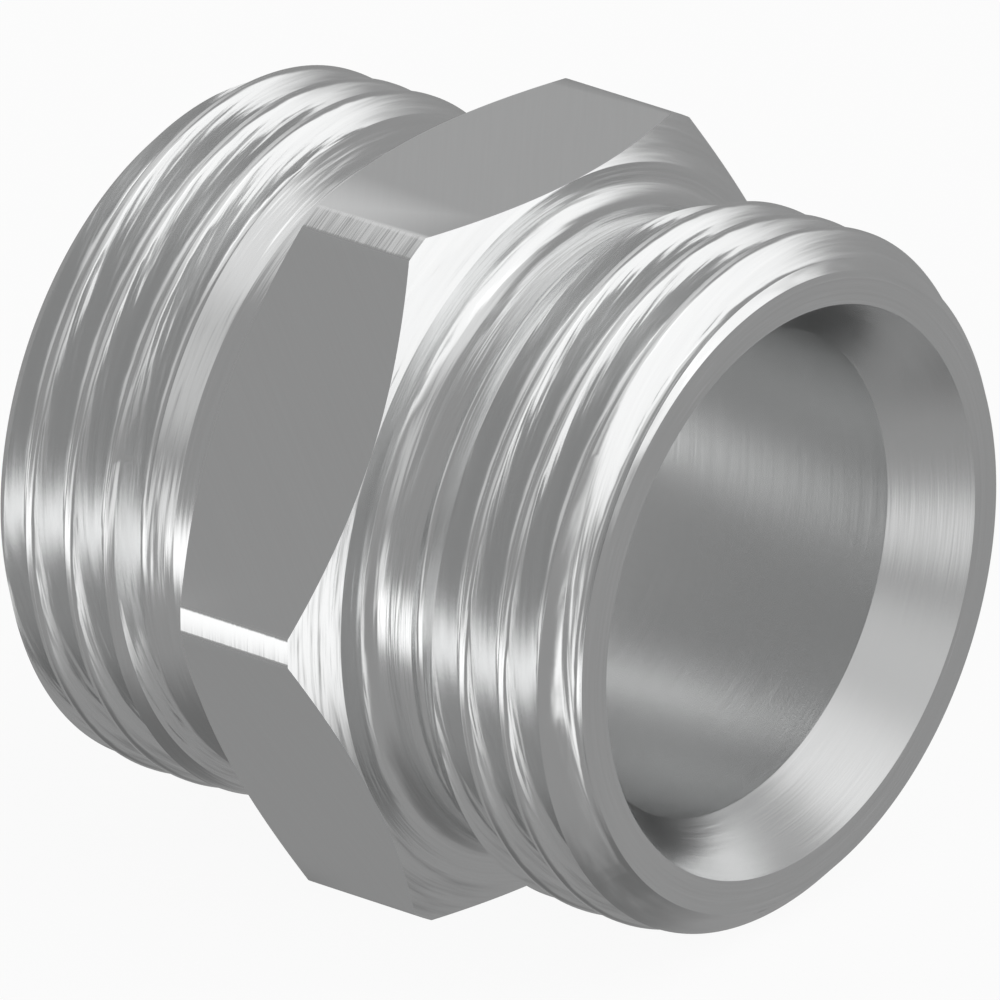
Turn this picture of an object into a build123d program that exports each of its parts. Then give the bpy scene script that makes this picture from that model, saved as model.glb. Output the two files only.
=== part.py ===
from build123d import *
import math
import os

# Eurocone adapter: a double-ended pipe nipple turned from one piece of hexagon bar.
# Millimetres. The turning axis lies along X and the piece rests on one flat of its
# hexagon, with the origin on the axis at the middle of the hexagon.

# Outside pipe thread G 3/4 at each end, right-handed: 55 degree form, its crests and roots
# cut flat at a sixth of the height of the sharp form
thread_major_diameter = 26.441
inch = 25.4
threads_per_inch = 14
flank_angle = 27.5
thread_length = 10.0

# Where the front thread comes out at its end face, and the line about which the
# rear end is the front end turned end for end, both as angles round the axis from +Y
front_crest_angle = 31.2
turning_line_angle = 60.0

# Hexagon for the spanner: its flats stand this far above the crests, which makes it
# 27 mm across, and this much is turned off its corners
flats_above_crests = 0.2795
hexagon_width = 7.0
corner_turned_off = 0.31
corner_chamfer_angle = 30.0

# Turned run-out between the hexagon and each thread, just below the roots
relief_below_roots = 0.1087
relief_width = 2.0
relief_fillet = 1.0
fillet_facets = 2
relief_cone_angle = 30.0

# Flat ring at each end, and the chamfer that leads from below the roots into the thread
face_below_roots = 0.0587
face_ring_width = 1.25
end_chamfer_angle = 45.0

# Wall between the bore and the roots, and the conical seat in each mouth
wall_under_roots = 2.9087
seat_angle = 30.0

# The threading tool stands this far out of the metal, and cuts so many turns at a time
tool_clearance = 0.2
turns_per_pass = 1.5
pass_overlap = 0.05

pitch = inch / threads_per_inch
thread_depth = pitch / (3 * math.tan(math.radians(flank_angle)))
major_radius = thread_major_diameter / 2
minor_radius = major_radius - thread_depth
flat_distance = major_radius + flats_above_crests
relief_radius = minor_radius - relief_below_roots
face_radius = minor_radius - face_below_roots
mouth_radius = face_radius - face_ring_width
bore_radius = minor_radius - wall_under_roots
half_hexagon = hexagon_width / 2
end_height = half_hexagon + thread_length


def tan_deg(angle):
    return math.tan(math.radians(angle))


def hexagon():
    """The spanner hexagon: a disc with chamfered edges, milled to six flats."""
    rim = flat_distance / math.cos(math.radians(30)) - corner_turned_off
    chamfer = (rim - flat_distance) * tan_deg(corner_chamfer_angle)
    outline = Polyline(
        (0, -half_hexagon),
        (flat_distance, -half_hexagon),
        (rim, -half_hexagon + chamfer),
        (rim, half_hexagon - chamfer),
        (flat_distance, half_hexagon),
        (0, half_hexagon),
        close=True,
    )
    disc = revolve(Plane.XZ * make_face(outline), Axis.Z)
    bar = extrude(RegularPolygon(flat_distance, 6, major_radius=False), hexagon_width, both=True)
    return disc & bar


def turned_end():
    """One end before threading: fillet, relief, cone up to the thread, chamfer at the mouth."""
    shoulder_radius = relief_radius + relief_fillet
    fillet_top = half_hexagon + relief_fillet
    fillet = []
    for step in range(fillet_facets + 1):
        angle = math.radians(90 * step / fillet_facets)
        radius = shoulder_radius - relief_fillet * math.sin(angle)
        fillet.append((radius, fillet_top - relief_fillet * math.cos(angle)))
    cone_start = half_hexagon + relief_width
    cone_end = cone_start + (major_radius - relief_radius) / tan_deg(relief_cone_angle)
    chamfer_start = end_height - (major_radius - face_radius) / tan_deg(end_chamfer_angle)
    outline = Polyline(
        (0, half_hexagon),
        *fillet,
        (relief_radius, cone_start),
        (major_radius, cone_end),
        (major_radius, chamfer_start),
        (face_radius, end_height),
        (0, end_height),
        close=True,
    )
    return revolve(Plane.XZ * make_face(outline), Axis.Z)


def tool_section():
    """The threading tool's point: two flanks and the flat between them that cuts the root."""
    sharp_height = pitch / (2 * tan_deg(flank_angle))
    root_half = (sharp_height / 6) * tan_deg(flank_angle)
    top_height = thread_depth + tool_clearance
    top_half = root_half + top_height * tan_deg(flank_angle)
    outline = Polyline(
        (minor_radius, -root_half),
        (minor_radius, root_half),
        (minor_radius + top_height, top_half),
        (minor_radius + top_height, -top_half),
        close=True,
    )
    return Plane.XZ * make_face(outline)


def threaded_end():
    """The turned end with its thread, cut in passes from the relief out past the end face."""
    end = turned_end()
    tool_path = Helix(pitch, (turns_per_pass + pass_overlap) * pitch, minor_radius)
    groove = sweep(tool_section(), tool_path, is_frenet=True)
    # The groove lies half a pitch from the crest.
    height = half_hexagon + (relief_fillet + relief_width) / 2
    angle = front_crest_angle + 360 * (height - (end_height - pitch / 2)) / pitch
    passes = math.ceil((end_height + pitch / 2 - height) / pitch / turns_per_pass)
    for turns in [turns_per_pass * k for k in range(passes)]:
        end -= Location((0, 0, height + turns * pitch), (0, 0, angle + 360 * turns)) * groove
    return end


def through_bore():
    """The bore with a conical seat opening into both end faces."""
    seat_depth = (mouth_radius - bore_radius) / tan_deg(seat_angle)
    outline = Polyline(
        (0, -end_height),
        (mouth_radius, -end_height),
        (bore_radius, -end_height + seat_depth),
        (bore_radius, end_height - seat_depth),
        (mouth_radius, end_height),
        (0, end_height),
        close=True,
    )
    return revolve(Plane.XZ * make_face(outline), Axis.Z)


def adapter_body():
    front_end = threaded_end()
    line_angle = math.radians(turning_line_angle)
    turning_line = Axis((0, 0, 0), (math.cos(line_angle), math.sin(line_angle), 0))
    rear_end = front_end.rotate(turning_line, 180)
    body = hexagon() + front_end + rear_end - through_bore()
    return Plane.YZ.location * body


body = adapter_body()
os.makedirs("parts", exist_ok=True)
export_step(body, "parts/adapter_body.step")
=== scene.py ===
from collections import namedtuple
from math import asin, cos, pi, radians, sin, tan, tau

import bmesh
import bpy
from bpy.props import FloatProperty, FloatVectorProperty, IntProperty, PointerProperty
from mathutils import Matrix, Vector


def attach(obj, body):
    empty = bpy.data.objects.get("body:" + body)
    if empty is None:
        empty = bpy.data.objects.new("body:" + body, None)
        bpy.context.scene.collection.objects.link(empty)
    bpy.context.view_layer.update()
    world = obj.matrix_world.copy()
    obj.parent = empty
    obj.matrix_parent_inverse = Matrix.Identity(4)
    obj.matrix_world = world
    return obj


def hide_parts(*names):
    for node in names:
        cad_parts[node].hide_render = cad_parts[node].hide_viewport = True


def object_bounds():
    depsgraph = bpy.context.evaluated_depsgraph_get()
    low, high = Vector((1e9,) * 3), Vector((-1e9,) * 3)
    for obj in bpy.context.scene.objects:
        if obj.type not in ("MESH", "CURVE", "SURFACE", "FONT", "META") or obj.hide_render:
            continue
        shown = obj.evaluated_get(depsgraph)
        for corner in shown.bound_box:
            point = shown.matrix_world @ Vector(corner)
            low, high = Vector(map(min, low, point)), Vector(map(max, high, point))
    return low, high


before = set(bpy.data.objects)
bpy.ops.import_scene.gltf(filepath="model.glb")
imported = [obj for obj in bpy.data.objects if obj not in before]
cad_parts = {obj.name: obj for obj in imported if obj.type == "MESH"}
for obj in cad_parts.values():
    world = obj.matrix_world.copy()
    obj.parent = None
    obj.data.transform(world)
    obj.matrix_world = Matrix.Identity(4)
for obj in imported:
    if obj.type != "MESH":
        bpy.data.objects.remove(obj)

cad_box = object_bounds()

bl_info = {
    "name": "Eurocone adapter",
    "version": (1, 0, 0),
    "blender": (4, 5, 0),
    "location": "3D View > Sidebar > Adapter",
    "description": "A double-ended pipe nipple with a spanner hexagon, and a plain studio for it",
    "category": "Object",
}

MM = 0.001

# The rounded 55 degree thread form, as shares of the pitch
THREAD_DEPTH = 0.640327
NOSE_RADIUS = 0.137329

# Half of the narrow land that stays on each crest, and how far the tool stands out of the metal
CREST_LAND = 0.06 * MM
TOOL_CLEARANCE = 0.2 * MM

# Points nearer than this become one, on the body and on the threading tool
BODY_MERGE = 1e-7
TOOL_MERGE = 0.002 * MM
CUT_TOLERANCE = 1e-8

# Facets of the relief's fillet, of the thread's root and of each side of its crest
FILLET_FACETS = 12
ROOT_FACETS = 10
CREST_FACETS = 5

# Edges sharper than this stay sharp
SHARP_ANGLE = radians(28)

# Material slots of the body
TURNED, MILLED, BORED = 0, 1, 2

# Marks a metre, across the marks and along them
Marks = namedtuple("Marks", "across along")
BROAD_MARKS = Marks(12000, 120)
FINE_MARKS = Marks(21000, 260)
FLAT_MARKS = Marks(9000, 200)

# The share of the radius in the place of a turned mark. Just below one, so that a
# 45 degree cone has marks too
RADIUS_SHARE = 0.9

# The slant of the marks on a flat, along the bore and across it
SLANT = (0.8, 0.6)

# A soft box as the object sees it: its level, its place in degrees, and how far from its
# middle it starts to fade and is gone
SoftBox = namedtuple("SoftBox", "level azimuth elevation full gone")
KEY_BOX = SoftBox(0.8, 26, 26, 27, 46)
CROWN_BOX = SoftBox(0.5, -14, 74, 8, 34)
BACK_BOX = SoftBox(0.4, 158, 40, 8, 32)
CAMERA_BOX = SoftBox(0.3, -60, 34, 6, 26)
LOW_LEFT_BOX = SoftBox(0.55, -76, -8, 6, 19)
LOW_RIGHT_BOX = SoftBox(0.9, -2, -20, 4, 22)
LOW_STRIP = SoftBox(1.0, -128, -20, 38, 56)

# The low strip's edges, and where the dark ground starts, as heights on a sphere of radius one
STRIP_LOW_EDGE = (-0.52, -0.42)
STRIP_HIGH_EDGE = (-0.25, -0.12)
GROUND_EDGE = (-1.0, -0.8)

# Level of the light straight below, and what the rest of the room adds to it
GROUND_LEVEL = 0.16
ROOM_LEVEL = 0.15


# Sizes and colours

class BodySizes(bpy.types.PropertyGroup):
    """Sizes of the turned body, the same as in the CAD model"""
    across_flats: FloatProperty(
        name="Across flats", description="Spanner size of the hexagon",
        default=27 * MM, unit="LENGTH")
    hexagon_width: FloatProperty(
        name="Hexagon width", description="Width of the hexagon along the bore",
        default=7 * MM, unit="LENGTH")
    corner_turned_off: FloatProperty(
        name="Corner turned off", description="How much is turned off each corner of the hexagon",
        default=0.31 * MM, unit="LENGTH")
    corner_chamfer: FloatProperty(
        name="Corner chamfer", description="Angle of the corner chamfer from the hexagon's face",
        default=radians(30), unit="ROTATION")
    major_diameter: FloatProperty(
        name="Thread diameter", description="Diameter over the crests of the thread",
        default=26.441 * MM, unit="LENGTH")
    pitch: FloatProperty(
        name="Pitch", description="Advance of the thread in one turn",
        default=25.4 * MM / 14, unit="LENGTH")
    flank_angle: FloatProperty(
        name="Flank angle", description="Angle of each thread flank from square to the axis",
        default=radians(27.5), unit="ROTATION")
    thread_length: FloatProperty(
        name="End length", description="Length of each end, from the hexagon to the end face",
        default=10 * MM, unit="LENGTH")
    front_crest: FloatProperty(
        name="Thread start", description="Angle at which the front thread's crest leaves its end face",
        default=radians(31.2), unit="ROTATION")
    turning_line: FloatProperty(
        name="Turning line", description="Angle of the line that turns the front end into the rear",
        default=radians(60), unit="ROTATION")
    relief_diameter: FloatProperty(
        name="Relief diameter", description="Diameter of the relief beside the hexagon",
        default=23.9 * MM, unit="LENGTH")
    relief_width: FloatProperty(
        name="Relief width", description="Width of the relief, from the hexagon to its cone",
        default=2 * MM, unit="LENGTH")
    relief_fillet: FloatProperty(
        name="Relief fillet", description="Radius between the relief and the hexagon",
        default=1 * MM, unit="LENGTH")
    relief_cone: FloatProperty(
        name="Relief cone", description="Angle from the axis of the cone up to the thread",
        default=radians(30), unit="ROTATION")
    face_diameter: FloatProperty(
        name="End face diameter", description="Outer diameter of the flat end face",
        default=24 * MM, unit="LENGTH")
    bore_diameter: FloatProperty(
        name="Bore", description="Diameter of the through bore",
        default=18.3 * MM, unit="LENGTH")
    mouth_diameter: FloatProperty(
        name="Mouth", description="Diameter of the conical seat at the end face",
        default=21.5 * MM, unit="LENGTH")
    seat_angle: FloatProperty(
        name="Seat angle", description="Angle of the conical seat from the axis",
        default=radians(30), unit="ROTATION")
    steps: IntProperty(
        name="Steps a turn", description="Facets round the body",
        default=240, min=24)


class Finish(bpy.types.PropertyGroup):
    """Colour, gloss and marks of the nickel plate"""
    nickel: FloatVectorProperty(
        name="Nickel", description="Colour of the plated surface",
        default=(0.84, 0.845, 0.845), size=3, min=0, max=1, subtype="COLOR")
    turned_gloss: FloatProperty(
        name="Turned roughness", description="Roughness of the turned surfaces",
        default=0.2, min=0, max=1, subtype="FACTOR")
    flat_gloss: FloatProperty(
        name="Flat roughness", description="Roughness of the hexagon's flats",
        default=0.3, min=0, max=1, subtype="FACTOR")
    bore_gloss: FloatProperty(
        name="Bore roughness", description="Roughness of the bore and the seats",
        default=0.27, min=0, max=1, subtype="FACTOR")
    round_tilt: FloatProperty(
        name="Tilt round", description="How far the turning marks tilt the surface round the axis",
        default=0.1, min=0, max=1, subtype="FACTOR")
    along_tilt: FloatProperty(
        name="Tilt along", description="How far the turning marks tilt the surface along its outline",
        default=0.6, min=0, max=1, subtype="FACTOR")
    tone_change: FloatProperty(
        name="Tone change", description="How much the turning marks change the tone",
        default=0.12, min=0, max=1, subtype="FACTOR")
    bore_share: FloatProperty(
        name="Bore marks", description="Share of the turning marks that the bore and the seats have",
        default=0.25, min=0, max=1, subtype="FACTOR")
    flat_tilt: FloatProperty(
        name="Flat tilt", description="How far the marks on the hexagon's flats tilt the surface",
        default=0.02, min=0, max=1, subtype="FACTOR")
    flat_tone_change: FloatProperty(
        name="Flat tone change", description="How much the marks on the hexagon's flats change the tone",
        default=0.05, min=0, max=1, subtype="FACTOR")


class Studio(bpy.types.PropertyGroup):
    """The camera, the floor and the light"""
    camera_distance: FloatProperty(
        name="Camera distance", description="From the camera to the front mouth",
        default=1.5, unit="LENGTH")
    frame_width: FloatProperty(
        name="Frame width", description="Width of the picture at the front mouth",
        default=36.04 * MM, unit="LENGTH")
    floor_size: FloatProperty(
        name="Floor size", description="Half the width of the floor",
        default=1.5, unit="LENGTH")
    floor_white: FloatProperty(
        name="Floor white", description="How far the floor turns plain white to the camera",
        default=0.93, min=0, max=1, subtype="FACTOR")


# Shader arithmetic

class Wire:
    """One number or vector in a shader. Arithmetic on it adds Math nodes."""

    def __init__(self, tree, socket):
        self.tree = tree
        self.socket = socket

    def math(self, operation, other):
        return self.tree.wire("ShaderNodeMath", {"operation": operation}, {0: self, 1: other})

    def __add__(self, other):
        return self.math("ADD", other)

    def __sub__(self, other):
        return self.math("SUBTRACT", other)

    def __rsub__(self, other):
        return (self * -1) + other

    def __mul__(self, other):
        return self.math("MULTIPLY", other)

    def __truediv__(self, other):
        return self.math("DIVIDE", other)

    def __pow__(self, other):
        return self.math("POWER", other)

    __radd__ = __add__
    __rmul__ = __mul__

    def step(self, low, high):
        """0 below low, 1 above high, and a smooth change between them."""
        return self.tree.wire("ShaderNodeMapRange", {"interpolation_type": "SMOOTHSTEP"},
                              {"Value": self, "From Min": low, "From Max": high}, "Result")

    def parts(self):
        """The three numbers in this wire's vector."""
        split = self.tree.add("ShaderNodeSeparateXYZ", None, {0: self})
        return [Wire(self.tree, socket) for socket in split.outputs]

    def vector(self, operation, *others):
        """Vector arithmetic on this wire's vector."""
        return self.tree.wire("ShaderNodeVectorMath", {"operation": operation},
                              dict(enumerate((self, *others))))

    def scaled(self, factor):
        """This wire's vector times a number."""
        return self.tree.wire("ShaderNodeVectorMath", {"operation": "SCALE"}, {0: self, "Scale": factor})

    def dot(self, vector):
        """The length of this wire's vector along another."""
        return self.tree.wire("ShaderNodeVectorMath", {"operation": "DOT_PRODUCT"},
                              {0: self, 1: vector}, "Value")


class Tree:
    """The node tree of a material or the world."""

    def __init__(self, owner):
        owner.use_nodes = True
        self.tree = owner.node_tree
        self.tree.nodes.clear()

    def add(self, kind, settings=None, inputs=None):
        """A new node, its settings made first, then its sockets given values or wires."""
        node = self.tree.nodes.new(kind)
        for name, value in (settings or {}).items():
            setattr(node, name, value)
        for name, value in (inputs or {}).items():
            if isinstance(value, Wire):
                self.tree.links.new(value.socket, node.inputs[name])
            else:
                node.inputs[name].default_value = value
        return node

    def wire(self, kind, settings=None, inputs=None, output=0):
        """A new node's output, for more arithmetic or another node's socket."""
        return Wire(self, self.add(kind, settings, inputs).outputs[output])


# Mesh helpers

def ring_of(bm, points):
    """A closed ring of edges through points (x, r) in the plane y = 0."""
    verts = [bm.verts.new((x, 0, r)) for x, r in points]
    return [bm.edges.new(pair) for pair in zip(verts, verts[1:] + verts[:1])]


def arc(centre, radius, start, end, segments):
    """Points on a circle in the (x, r) plane, the angle taken from +x towards +r."""
    angles = (start + (end - start) * i / segments for i in range(segments + 1))
    return [(centre[0] + radius * cos(a), centre[1] + radius * sin(a)) for a in angles]


def finish_mesh(bm, name):
    """An object with this mesh, its doubled points merged and its normals turned outwards."""
    bmesh.ops.remove_doubles(bm, verts=bm.verts[:], dist=BODY_MERGE)
    bmesh.ops.recalc_face_normals(bm, faces=bm.faces[:])
    mesh = bpy.data.meshes.new(name)
    bm.to_mesh(mesh)
    bm.free()
    piece = bpy.data.objects.new(name, mesh)
    bpy.context.collection.objects.link(piece)
    return piece


# Body

def turned_outline(s):
    """The half section of one end and half the hexagon, from the bore out and back to the rim."""
    half = s.hexagon_width / 2
    end = half + s.thread_length
    face = s.face_diameter / 2
    major = s.major_diameter / 2
    relief = s.relief_diameter / 2
    bore = s.bore_diameter / 2
    mouth = s.mouth_diameter / 2
    flat = s.across_flats / 2
    rim = flat / cos(pi / 6) - s.corner_turned_off
    points = [
        (end - (mouth - bore) / tan(s.seat_angle), bore),
        (end, mouth),
        (end, face),
        (end - (major - face), major),
        (half + s.relief_width + (major - relief) / tan(s.relief_cone), major),
        (half + s.relief_width, relief),
    ]
    fillet_centre = (half + s.relief_fillet, relief + s.relief_fillet)
    points += arc(fillet_centre, s.relief_fillet, -pi / 2, -pi, FILLET_FACETS)
    points += [
        (half, flat),
        (half - (rim - flat) * tan(s.corner_chamfer), rim),
    ]
    return points


def turned_blank(s):
    """The body before threading: the section spun round the bore, and six flats cut on it."""
    bm = bmesh.new()
    half = turned_outline(s)
    edges = ring_of(bm, half + [(-x, r) for x, r in reversed(half)])
    bmesh.ops.spin(bm, geom=bm.verts[:] + edges, cent=(0, 0, 0), axis=(1, 0, 0),
                   angle=tau, steps=s.steps, use_merge=True)
    bmesh.ops.remove_doubles(bm, verts=bm.verts[:], dist=BODY_MERGE)
    bmesh.ops.recalc_face_normals(bm, faces=bm.faces[:])
    for face in bm.faces:
        if face.calc_center_median().yz.length < s.mouth_diameter / 2:
            face.material_index = BORED
    for k in range(6):
        angle = k * pi / 3 + pi / 2
        out = Vector((0, cos(angle), sin(angle)))
        cut = bmesh.ops.bisect_plane(bm, geom=bm.verts[:] + bm.edges[:] + bm.faces[:],
                                     dist=CUT_TOLERANCE, plane_co=out * s.across_flats / 2,
                                     plane_no=out, clear_outer=True)
        rim = [e for e in cut["geom_cut"] if isinstance(e, bmesh.types.BMEdge)]
        for flat in bmesh.ops.contextual_create(bm, geom=rim)["faces"]:
            flat.material_index = MILLED
    return finish_mesh(bm, "adapter_body_turned")


def groove_section(s):
    """The section of one thread groove, round at the root and over the crests beside it."""
    nose = NOSE_RADIUS * s.pitch
    major = s.major_diameter / 2
    minor = major - THREAD_DEPTH * s.pitch
    round_part = pi / 2 - s.flank_angle
    land_part = asin(CREST_LAND / nose)
    root = arc((0, minor + nose), nose, -pi / 2 - round_part, -pi / 2 + round_part, ROOT_FACETS)
    right = arc((s.pitch / 2, major - nose), nose, pi / 2 + round_part, pi / 2 + land_part, CREST_FACETS)
    left = [(-x, r) for x, r in reversed(right)]
    top = (right[-1][0], major + TOOL_CLEARANCE)
    return [(-top[0], top[1])] + left + root + right + [top]


def thread_cutter(s, name, turned_about):
    """The solid that a threading tool sweeps, from the relief out past the end face."""
    end = s.hexagon_width / 2 + s.thread_length
    start = s.hexagon_width / 2 + (s.relief_fillet + s.relief_width) / 2
    bm = bmesh.new()
    edges = ring_of(bm, [(x + start, r) for x, r in groove_section(s)])
    bmesh.ops.spin(bm, geom=bm.verts[:] + edges, cent=(0, 0, 0), axis=(1, 0, 0),
                   dvec=(s.pitch / s.steps, 0, 0), angle=tau, steps=s.steps)
    one_turn = bm.verts[:] + bm.edges[:] + bm.faces[:]
    turns = int((end + s.pitch / 2 - start) / s.pitch) + 1
    for turn in range(1, turns):
        copy = bmesh.ops.duplicate(bm, geom=one_turn)["geom"]
        verts = [v for v in copy if isinstance(v, bmesh.types.BMVert)]
        bmesh.ops.translate(bm, verts=verts, vec=(turn * s.pitch, 0, 0))
    bmesh.ops.remove_doubles(bm, verts=bm.verts[:], dist=TOOL_MERGE)
    bmesh.ops.holes_fill(bm, edges=[e for e in bm.edges if e.is_boundary])
    # The groove lies half a pitch from the crest.
    phase = s.front_crest + tau * (start - (end - s.pitch / 2)) / s.pitch
    bmesh.ops.rotate(bm, verts=bm.verts[:], cent=(0, 0, 0), matrix=Matrix.Rotation(phase - pi / 2, 3, "X"))
    if turned_about:
        bmesh.ops.rotate(bm, verts=bm.verts[:], cent=(0, 0, 0), matrix=Matrix.Rotation(pi, 3, turned_about))
    return finish_mesh(bm, name)


def cut_with(piece, cutters):
    """Takes each cutter from the piece, leaves a plain mesh, and removes the cutters."""
    for cutter in cutters:
        cut = piece.modifiers.new(cutter.name, "BOOLEAN")
        cut.object = cutter
        cut.operation = "DIFFERENCE"
        cut.solver = "MANIFOLD"
    done = bpy.data.meshes.new_from_object(piece.evaluated_get(bpy.context.evaluated_depsgraph_get()))
    if len(done.polygons) <= len(piece.data.polygons):
        raise RuntimeError("The thread was not cut.")
    piece.modifiers.clear()
    piece.data = done
    for cutter in cutters:
        bpy.data.objects.remove(cutter)


# Finishes

def plated(name, nickel, gloss, marks):
    """Nickel plate with marks on it, which tilt its surface and change its tone a little."""
    material = bpy.data.materials.new(name)
    t = Tree(material)
    place = t.wire("ShaderNodeTexCoord", output="Object")
    normal, tone = marks(t, *place.parts())
    colour = t.wire("ShaderNodeVectorMath", {"operation": "SCALE"}, {0: tuple(nickel), "Scale": tone})
    metal = t.wire("ShaderNodeBsdfPrincipled", None, {
        "Base Color": colour, "Metallic": 1.0, "Roughness": gloss, "Normal": normal})
    t.add("ShaderNodeOutputMaterial", None, {"Surface": metal})
    return material


def streaks(t, across, y, z, marks):
    """Noise about zero, drawn out into lines."""
    lines = t.wire("ShaderNodeCombineXYZ", None, {
        "X": across * marks.across, "Y": y * marks.along, "Z": z * marks.along})
    return t.wire("ShaderNodeTexNoise", None, {"Vector": lines, "Scale": 1.0, "Detail": 2.0,
                                               "Roughness": 0.6}) - 0.5


def tilted(t, y, z, round_tilt, along_tilt):
    """The surface's normal, tilted round the axis and along the section's outline."""
    normal = t.wire("ShaderNodeNewGeometry", output="Normal")
    radius = (y * y + z * z) ** 0.5
    around = t.wire("ShaderNodeCombineXYZ", None, {"Y": z / radius * -1, "Z": y / radius})
    along = normal.vector("CROSS_PRODUCT", around)
    total = normal.vector("ADD", around.scaled(round_tilt)).vector("ADD", along.scaled(along_tilt))
    return total.vector("NORMALIZE")


def turned_marks(finish, share=1.0):
    """Lines round the axis. Their tilt spreads each highlight along the outline, and ends it unevenly."""
    def marks(t, x, y, z):
        across = x + (y * y + z * z) ** 0.5 * RADIUS_SHARE
        broad = streaks(t, across, y, z, BROAD_MARKS)
        fine = streaks(t, across, y, z, FINE_MARKS)
        normal = tilted(t, y, z, broad * (finish.round_tilt * share), fine * (finish.along_tilt * share))
        return normal, 1 + broad * (finish.tone_change * share)
    return marks


def milled_marks(finish):
    """Faint straight lines slanting across each flat of the hexagon."""
    def marks(t, x, y, z):
        slant = x * SLANT[0] + (y + z) * SLANT[1]
        fine = streaks(t, slant, y - z, x, FLAT_MARKS)
        return tilted(t, y, z, 0.0, fine * finish.flat_tilt), 1 + fine * finish.flat_tone_change
    return marks


# Stage

def make_floor(studio, height):
    """A white floor that keeps a faint shadow. The metal mirrors the studio, not the floor."""
    bm = bmesh.new()
    bmesh.ops.create_grid(bm, x_segments=1, y_segments=1, size=studio.floor_size)
    bmesh.ops.translate(bm, verts=bm.verts[:], vec=(0, 0, height))
    floor = finish_mesh(bm, "floor")
    material = bpy.data.materials.new("pale_floor")
    t = Tree(material)
    seen = t.wire("ShaderNodeLightPath", output="Is Camera Ray")
    matte = t.wire("ShaderNodeBsdfDiffuse", None, {"Color": (0.95, 0.95, 0.95, 1)})
    white = t.wire("ShaderNodeEmission", None, {"Color": (1, 1, 1, 1), "Strength": 1.0})
    mix = t.wire("ShaderNodeMixShader", None, {0: seen * studio.floor_white, 1: matte, 2: white})
    t.add("ShaderNodeOutputMaterial", None, {"Surface": mix})
    floor.data.materials.append(material)
    floor.visible_glossy = False


def heading(azimuth, elevation):
    """A direction, the azimuth taken from +X towards +Y, both in degrees."""
    a, e = radians(azimuth), radians(elevation)
    return Vector((cos(a) * cos(e), sin(a) * cos(e), sin(e)))


def light_of(box, way):
    """What a soft box adds to the light that comes from a direction."""
    middle = heading(box.azimuth, box.elevation)
    return box.level * way.dot(middle).step(cos(radians(box.gone)), cos(radians(box.full)))


def make_world(scene):
    """A dim round studio with soft boxes in it, darkest straight below, and a low strip at the left."""
    world = bpy.data.worlds.new("studio")
    scene.world = world
    t = Tree(world)
    way = t.wire("ShaderNodeTexCoord", output="Generated")
    height = way.dot(Vector((0, 0, 1)))
    level = GROUND_LEVEL + height.step(*GROUND_EDGE) * ROOM_LEVEL
    for box in (KEY_BOX, CROWN_BOX, BACK_BOX, CAMERA_BOX, LOW_LEFT_BOX, LOW_RIGHT_BOX):
        level += light_of(box, way)
    in_strip = height.step(*STRIP_LOW_EDGE) * (1 - height.step(*STRIP_HIGH_EDGE))
    level += in_strip * light_of(LOW_STRIP, way)
    shade = t.wire("ShaderNodeBackground", None, {"Color": (1, 1, 1, 1), "Strength": level})
    t.add("ShaderNodeOutputWorld", None, {"Surface": shade})


def make_camera(scene, studio):
    """The camera looks at the front mouth from the upper right, through a long lens."""
    # How much of the view runs along the bore and how much across it, and the picture's tilt
    along_bore, across_bore = 0.5706, 0.8212
    tilt = radians(17.78)
    # Where the middle of the front mouth lies in the picture, in pixels
    picture_width = 1000
    mouth_column, mouth_row = 791.61, 592.8
    bore = Vector((1, 0, 0))
    near_side = Vector((0, cos(radians(150)), sin(radians(150))))
    low_side = Vector((0, cos(radians(240)), sin(radians(240))))
    back = (bore * along_bore + near_side * across_bore).normalized()
    level_right = bore * across_bore - near_side * along_bore
    right = (level_right * cos(tilt) - low_side * sin(tilt)).normalized()
    up = back.cross(right)
    pixel = studio.frame_width / picture_width
    mouth = Vector((cad_box[1].x, 0, 0))
    aim = mouth - right * (mouth_column - picture_width / 2) * pixel
    aim += up * (mouth_row - picture_width / 2) * pixel
    data = bpy.data.cameras.new("camera")
    data.sensor_width = 36
    data.lens = data.sensor_width * studio.camera_distance / studio.frame_width
    data.clip_start = 0.1
    data.clip_end = 20
    camera = bpy.data.objects.new("camera", data)
    scene.collection.objects.link(camera)
    place = Matrix((right, up, back)).transposed().to_4x4()
    place.translation = aim + back * studio.camera_distance
    camera.matrix_world = place
    scene.camera = camera


# Operators and panel

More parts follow.
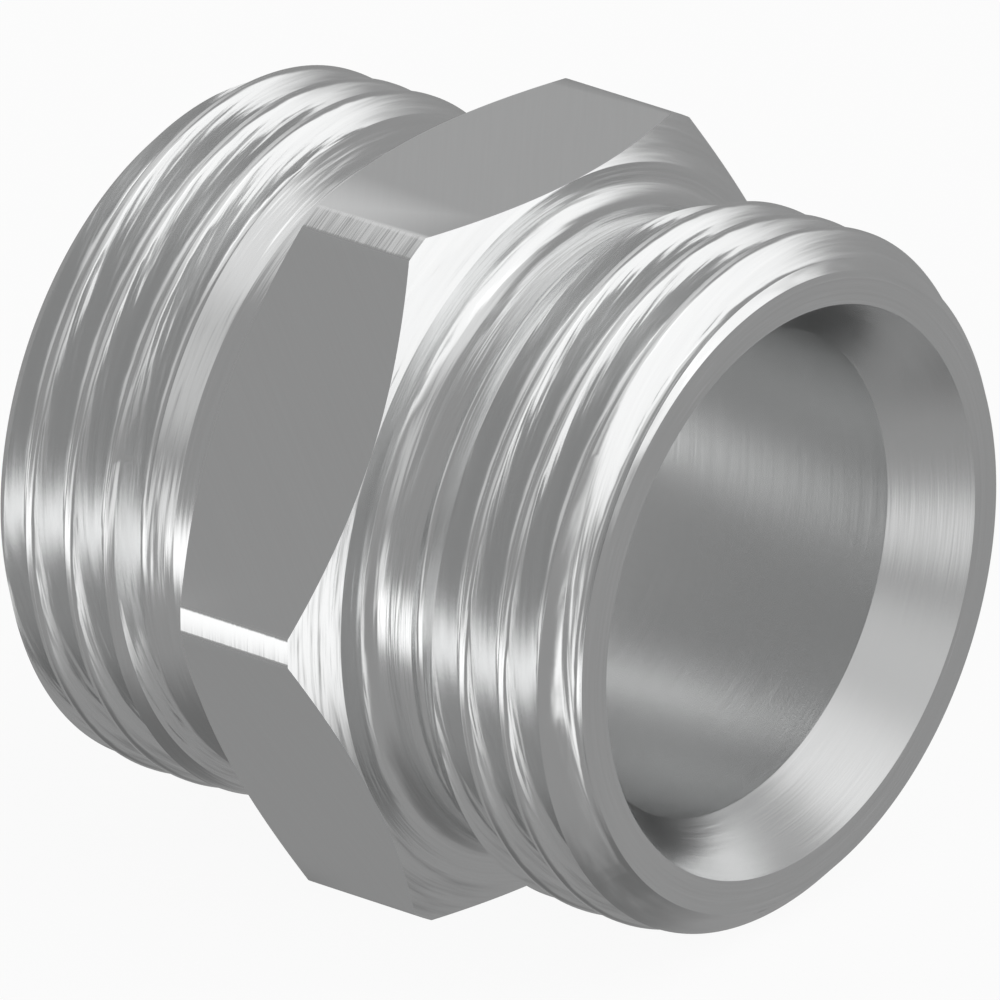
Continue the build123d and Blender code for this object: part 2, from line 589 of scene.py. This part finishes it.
class ADAPTER_OT_body(bpy.types.Operator):
    """Make the turned and threaded body, and give it its nickel plate"""
    bl_idname = "adapter.body"
    bl_label = "Adapter body"

    def execute(self, context):
        s = context.scene.adapter_sizes
        f = context.scene.adapter_finish
        piece = turned_blank(s)
        for finish in (plated("turned_nickel", f.nickel, f.turned_gloss, turned_marks(f)),
                       plated("milled_nickel", f.nickel, f.flat_gloss, milled_marks(f)),
                       plated("bored_nickel", f.nickel, f.bore_gloss, turned_marks(f, f.bore_share))):
            piece.data.materials.append(finish)
        turning_line = Vector((0, cos(s.turning_line), sin(s.turning_line)))
        cut_with(piece, [thread_cutter(s, "front_groove", None),
                         thread_cutter(s, "rear_groove", turning_line)])
        piece.data.shade_smooth()
        piece.data.set_sharp_from_angle(angle=SHARP_ANGLE)
        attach(piece, "root")
        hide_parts("adapter_body")
        return {"FINISHED"}


class ADAPTER_OT_stage(bpy.types.Operator):
    """Make the floor, the light and the camera"""
    bl_idname = "adapter.stage"
    bl_label = "Studio"

    def execute(self, context):
        studio = context.scene.adapter_studio
        make_floor(studio, cad_box[0].z)
        make_world(context.scene)
        make_camera(context.scene, studio)
        context.scene.view_settings.view_transform = "Standard"
        return {"FINISHED"}


class ADAPTER_PT_panel(bpy.types.Panel):
    """Sizes, finish and studio, and the buttons that make them"""
    bl_idname = "ADAPTER_PT_panel"
    bl_label = "Eurocone adapter"
    bl_space_type = "VIEW_3D"
    bl_region_type = "UI"
    bl_category = "Adapter"

    def draw(self, context):
        for group, button in (("adapter_sizes", ADAPTER_OT_body), ("adapter_finish", None),
                              ("adapter_studio", ADAPTER_OT_stage)):
            box = self.layout.box()
            settings = getattr(context.scene, group)
            for name in settings.__annotations__:
                box.prop(settings, name)
            if button:
                box.operator(button.bl_idname)


CLASSES = (BodySizes, Finish, Studio, ADAPTER_OT_body, ADAPTER_OT_stage, ADAPTER_PT_panel)


def register():
    for cls in CLASSES:
        bpy.utils.register_class(cls)
    bpy.types.Scene.adapter_sizes = PointerProperty(type=BodySizes)
    bpy.types.Scene.adapter_finish = PointerProperty(type=Finish)
    bpy.types.Scene.adapter_studio = PointerProperty(type=Studio)


def unregister():
    del bpy.types.Scene.adapter_studio
    del bpy.types.Scene.adapter_finish
    del bpy.types.Scene.adapter_sizes
    for cls in reversed(CLASSES):
        bpy.utils.unregister_class(cls)


def main():
    register()
    bpy.ops.adapter.body()
    bpy.ops.adapter.stage()


if __name__ == "__main__":
    main()
